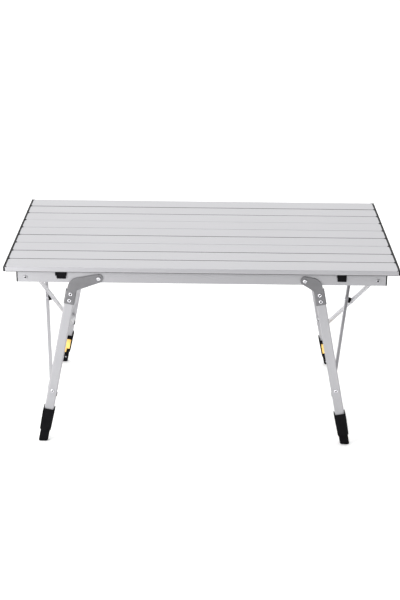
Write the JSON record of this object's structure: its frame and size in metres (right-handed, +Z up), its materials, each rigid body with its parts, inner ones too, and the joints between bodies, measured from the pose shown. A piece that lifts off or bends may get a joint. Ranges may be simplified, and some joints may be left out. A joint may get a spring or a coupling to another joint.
{
  "type": "folding picnic table",
  "caption": "Folding picnic table with a roll-up slatted top, splayed telescopic legs on pivoting brackets and a folding crossed brace at each end.",
  "frame": {"origin": "centre of the footprint of the whole table, on the floor under the middle of the top", "axes": "+X along the length of the top and the slats, towards the right end; +Y from the front edge to the rear edge; +Z up"},
  "size_m": [0.9, 0.5288, 0.45],
  "materials": {
    "slat_aluminium": "satin anodised, fine lengthwise grain",
    "frame_aluminium": "satin anodised",
    "bracket_steel": "grey coated pressed steel",
    "rivet_steel": "bright rivet",
    "cap_plastic": "moulded black plastic",
    "foot_rubber": "matt black rubber",
    "lever_plastic": "moulded yellow plastic"
  },
  "bodies": {
    "front_rail": {"front_rail": "frame_aluminium", "front_rail_plugs": "cap_plastic", "front_rail_rivets": "rivet_steel"},
    "rear_rail": {"rear_rail": "frame_aluminium", "rear_rail_plugs": "cap_plastic", "rear_rail_rivets": "rivet_steel"},
    "slat_1": {"slat_1": "slat_aluminium", "slat_1_caps": "cap_plastic"},
    "slat_2": {"slat_2": "slat_aluminium", "slat_2_caps": "cap_plastic"},
    "slat_3": {"slat_3": "slat_aluminium", "slat_3_caps": "cap_plastic"},
    "slat_4": {"slat_4": "slat_aluminium", "slat_4_caps": "cap_plastic"},
    "slat_5": {"slat_5": "slat_aluminium", "slat_5_caps": "cap_plastic"},
    "slat_6": {"slat_6": "slat_aluminium", "slat_6_caps": "cap_plastic"},
    "slat_7": {"slat_7": "slat_aluminium", "slat_7_caps": "cap_plastic"},
    "slat_8": {"slat_8": "slat_aluminium", "slat_8_caps": "cap_plastic"},
    "slat_9": {"slat_9": "slat_aluminium", "slat_9_caps": "cap_plastic"},
    "left_front_yoke": {"left_front_yoke": "cap_plastic"},
    "left_rear_yoke": {"left_rear_yoke": "cap_plastic"},
    "left_brace_bar_a": {"left_brace_bar_a": "frame_aluminium"},
    "left_brace_bar_b": {"left_brace_bar_b": "frame_aluminium"},
    "right_front_yoke": {"right_front_yoke": "cap_plastic"},
    "right_rear_yoke": {"right_rear_yoke": "cap_plastic"},
    "right_brace_bar_a": {"right_brace_bar_a": "frame_aluminium"},
    "right_brace_bar_b": {"right_brace_bar_b": "frame_aluminium"},
    "front_left_leg": {"front_left_leg_tube": "frame_aluminium", "front_left_leg_bracket": "bracket_steel", "front_left_lock_collar": "cap_plastic"},
    "front_left_lock_lever": {"front_left_lock_lever": "lever_plastic"},
    "front_left_extension": {"front_left_inner_tube": "frame_aluminium", "front_left_foot": "foot_rubber"},
    "front_left_top_latch": {"front_left_top_latch": "cap_plastic"},
    "front_right_leg": {"front_right_leg_tube": "frame_aluminium", "front_right_leg_bracket": "bracket_steel", "front_right_lock_collar": "cap_plastic"},
    "front_right_lock_lever": {"front_right_lock_lever": "lever_plastic"},
    "front_right_extension": {"front_right_inner_tube": "frame_aluminium", "front_right_foot": "foot_rubber"},
    "front_right_top_latch": {"front_right_top_latch": "cap_plastic"},
    "rear_left_leg": {"rear_left_leg_tube": "frame_aluminium", "rear_left_leg_bracket": "bracket_steel", "rear_left_lock_collar": "cap_plastic"},
    "rear_left_lock_lever": {"rear_left_lock_lever": "lever_plastic"},
    "rear_left_extension": {"rear_left_inner_tube": "frame_aluminium", "rear_left_foot": "foot_rubber"},
    "rear_left_top_latch": {"rear_left_top_latch": "cap_plastic"},
    "rear_right_leg": {"rear_right_leg_tube": "frame_aluminium", "rear_right_leg_bracket": "bracket_steel", "rear_right_lock_collar": "cap_plastic"},
    "rear_right_lock_lever": {"rear_right_lock_lever": "lever_plastic"},
    "rear_right_extension": {"rear_right_inner_tube": "frame_aluminium", "rear_right_foot": "foot_rubber"},
    "rear_right_top_latch": {"rear_right_top_latch": "cap_plastic"}
  },
  "joints": [
    {"name": "top_lift", "type": "slide", "parent": "front_rail", "child": "slat_5", "axis": [0, 0, 1], "range_m": [0, 0.6]},
    {"name": "slat_hinge_5_6", "type": "hinge", "parent": "slat_5", "child": "slat_6", "pos_m": [0, 0.02944, 0.4395], "axis": [-1, 0, 0], "range_deg": [0, 39.5]},
    {"name": "slat_hinge_4_5", "type": "hinge", "parent": "slat_5", "child": "slat_4", "pos_m": [0, -0.02944, 0.4395], "axis": [1, 0, 0], "range_deg": [0, 39.5]},
    {"name": "slat_hinge_6_7", "type": "hinge", "parent": "slat_6", "child": "slat_7", "pos_m": [0, 0.08833, 0.4395], "axis": [-1, 0, 0], "range_deg": [0, 39.5]},
    {"name": "slat_hinge_3_4", "type": "hinge", "parent": "slat_4", "child": "slat_3", "pos_m": [0, -0.08833, 0.4395], "axis": [1, 0, 0], "range_deg": [0, 39.5]},
    {"name": "slat_hinge_7_8", "type": "hinge", "parent": "slat_7", "child": "slat_8", "pos_m": [0, 0.14722, 0.4395], "axis": [-1, 0, 0], "range_deg": [0, 39.5]},
    {"name": "slat_hinge_2_3", "type": "hinge", "parent": "slat_3", "child": "slat_2", "pos_m": [0, -0.14722, 0.4395], "axis": [1, 0, 0], "range_deg": [0, 39.5]},
    {"name": "slat_hinge_8_9", "type": "hinge", "parent": "slat_8", "child": "slat_9", "pos_m": [0, 0.20611, 0.4395], "axis": [-1, 0, 0], "range_deg": [0, 39.5]},
    {"name": "slat_hinge_1_2", "type": "hinge", "parent": "slat_2", "child": "slat_1", "pos_m": [0, -0.20611, 0.4395], "axis": [1, 0, 0], "range_deg": [0, 39.5]},
    {"name": "frame_fold", "type": "hinge", "parent": "front_rail", "child": "left_front_yoke", "pos_m": [-0.4025, -0.229, 0.4188], "axis": [0, -1, 0], "range_deg": [0, 72.48]},
    {"name": "left_bar_a_pivot", "type": "hinge", "parent": "left_front_yoke", "child": "left_brace_bar_a", "pos_m": [-0.4025, -0.1875, 0.4188], "axis": [-0.9832, 0, -0.1826], "range_deg": [0, 45.01]},
    {"name": "left_scissor_pin", "type": "hinge", "parent": "left_brace_bar_a", "child": "left_brace_bar_b", "pos_m": [-0.37602, 0, 0.27624], "axis": [0.9832, 0, 0.1826], "range_deg": [0, 90.03]},
    {"name": "left_bar_b_pivot", "type": "hinge", "parent": "left_brace_bar_b", "child": "left_rear_yoke", "pos_m": [-0.4025, 0.1875, 0.4188], "axis": [-0.9832, 0, -0.1826], "range_deg": [0, 45.01]},
    {"name": "left_rear_yoke_pivot", "type": "hinge", "parent": "left_rear_yoke", "child": "rear_rail", "pos_m": [-0.4025, 0.229, 0.4188], "axis": [0, 1, 0], "range_deg": [0, 72.48]},
    {"name": "right_front_yoke_pivot", "type": "hinge", "parent": "front_rail", "child": "right_front_yoke", "pos_m": [0.4025, -0.229, 0.4188], "axis": [0, 1, 0], "range_deg": [0, 73.31]},
    {"name": "right_bar_a_pivot", "type": "hinge", "parent": "right_front_yoke", "child": "right_brace_bar_a", "pos_m": [0.4025, -0.1875, 0.4188], "axis": [-0.9579, 0, 0.2872], "range_deg": [0, 45.01]},
    {"name": "right_rear_yoke_pivot", "type": "hinge", "parent": "rear_rail", "child": "right_rear_yoke", "pos_m": [0.4025, 0.229, 0.4188], "axis": [0, 1, 0], "range_deg": [0, 73.31]},
    {"name": "right_bar_b_pivot", "type": "hinge", "parent": "right_rear_yoke", "child": "right_brace_bar_b", "pos_m": [0.4025, 0.1875, 0.4188], "axis": [0.9579, 0, -0.2872], "range_deg": [0, 45.01]},
    {"name": "front_left_leg_fold", "type": "hinge", "parent": "front_rail", "child": "front_left_leg", "pos_m": [-0.2355, -0.246, 0.4176], "axis": [0, -1, 0], "range_deg": [0, 101.3]},
    {"name": "front_left_leg_extend", "type": "slide", "parent": "front_left_leg", "child": "front_left_extension", "axis": [-0.1959, 0, -0.9806], "range_m": [0, 0.22]},
    {"name": "front_left_lever_pivot", "type": "hinge", "parent": "front_left_leg", "child": "front_left_lock_lever", "pos_m": [-0.36272, -0.2245, 0.06775], "axis": [0.9806, 0, -0.1959], "range_deg": [0, 60]},
    {"name": "front_left_latch_slide", "type": "slide", "parent": "front_rail", "child": "front_left_top_latch", "axis": [1, 0, 0], "range_m": [0, 0.008]},
    {"name": "front_right_leg_fold", "type": "hinge", "parent": "front_rail", "child": "front_right_leg", "pos_m": [0.2355, -0.246, 0.4176], "axis": [0, 1, 0], "range_deg": [0, 101.3]},
    {"name": "front_right_leg_extend", "type": "slide", "parent": "front_right_leg", "child": "front_right_extension", "axis": [0.1959, 0, -0.9806], "range_m": [0, 0.22]},
    {"name": "front_right_lever_pivot", "type": "hinge", "parent": "front_right_leg", "child": "front_right_lock_lever", "pos_m": [0.33497, -0.2245, 0.0622], "axis": [0.9806, 0, 0.1959], "range_deg": [0, 60]},
    {"name": "front_right_latch_slide", "type": "slide", "parent": "front_rail", "child": "front_right_top_latch", "axis": [-1, 0, 0], "range_m": [0, 0.008]},
    {"name": "rear_left_leg_fold", "type": "hinge", "parent": "rear_rail", "child": "rear_left_leg", "pos_m": [-0.2355, 0.246, 0.4176], "axis": [0, -1, 0], "range_deg": [0, 101.3]},
    {"name": "rear_left_leg_extend", "type": "slide", "parent": "rear_left_leg", "child": "rear_left_extension", "axis": [-0.1959, 0, -0.9806], "range_m": [0, 0.22]},
    {"name": "rear_left_lever_pivot", "type": "hinge", "parent": "rear_left_leg", "child": "rear_left_lock_lever", "pos_m": [-0.36272, 0.2245, 0.06775], "axis": [-0.9806, 0, 0.1959], "range_deg": [0, 60]},
    {"name": "rear_left_latch_slide", "type": "slide", "parent": "rear_rail", "child": "rear_left_top_latch", "axis": [1, 0, 0], "range_m": [0, 0.008]},
    {"name": "rear_right_leg_fold", "type": "hinge", "parent": "rear_rail", "child": "rear_right_leg", "pos_m": [0.2355, 0.246, 0.4176], "axis": [0, 1, 0], "range_deg": [0, 101.3]},
    {"name": "rear_right_leg_extend", "type": "slide", "parent": "rear_right_leg", "child": "rear_right_extension", "axis": [0.1959, 0, -0.9806], "range_m": [0, 0.22]},
    {"name": "rear_right_lever_pivot", "type": "hinge", "parent": "rear_right_leg", "child": "rear_right_lock_lever", "pos_m": [0.33497, 0.2245, 0.0622], "axis": [-0.9806, 0, -0.1959], "range_deg": [0, 60]},
    {"name": "rear_right_latch_slide", "type": "slide", "parent": "rear_rail", "child": "rear_right_top_latch", "axis": [-1, 0, 0], "range_m": [0, 0.008]}
  ],
  "couplings": [
    {"joint": "slat_hinge_5_6", "follows": "top_lift", "rad_per_m": 1.149},
    {"joint": "slat_hinge_4_5", "follows": "top_lift", "rad_per_m": 1.149},
    {"joint": "slat_hinge_6_7", "follows": "top_lift", "rad_per_m": 1.149},
    {"joint": "slat_hinge_3_4", "follows": "top_lift", "rad_per_m": 1.149},
    {"joint": "slat_hinge_7_8", "follows": "top_lift", "rad_per_m": 1.149},
    {"joint": "slat_hinge_2_3", "follows": "top_lift", "rad_per_m": 1.149},
    {"joint": "slat_hinge_8_9", "follows": "top_lift", "rad_per_m": 1.149},
    {"joint": "slat_hinge_1_2", "follows": "top_lift", "rad_per_m": 1.149},
    {"joint": "left_bar_a_pivot", "follows": "frame_fold", "ratio": 0.62105},
    {"joint": "left_scissor_pin", "follows": "frame_fold", "ratio": 1.2421},
    {"joint": "left_bar_b_pivot", "follows": "frame_fold", "ratio": 0.62105},
    {"joint": "left_rear_yoke_pivot", "follows": "frame_fold", "ratio": 1},
    {"joint": "right_front_yoke_pivot", "follows": "frame_fold", "ratio": 1.0115},
    {"joint": "right_bar_a_pivot", "follows": "frame_fold", "ratio": 0.62105},
    {"joint": "right_rear_yoke_pivot", "follows": "frame_fold", "ratio": 1.0115},
    {"joint": "right_bar_b_pivot", "follows": "frame_fold", "ratio": 0.62105}
  ]
}
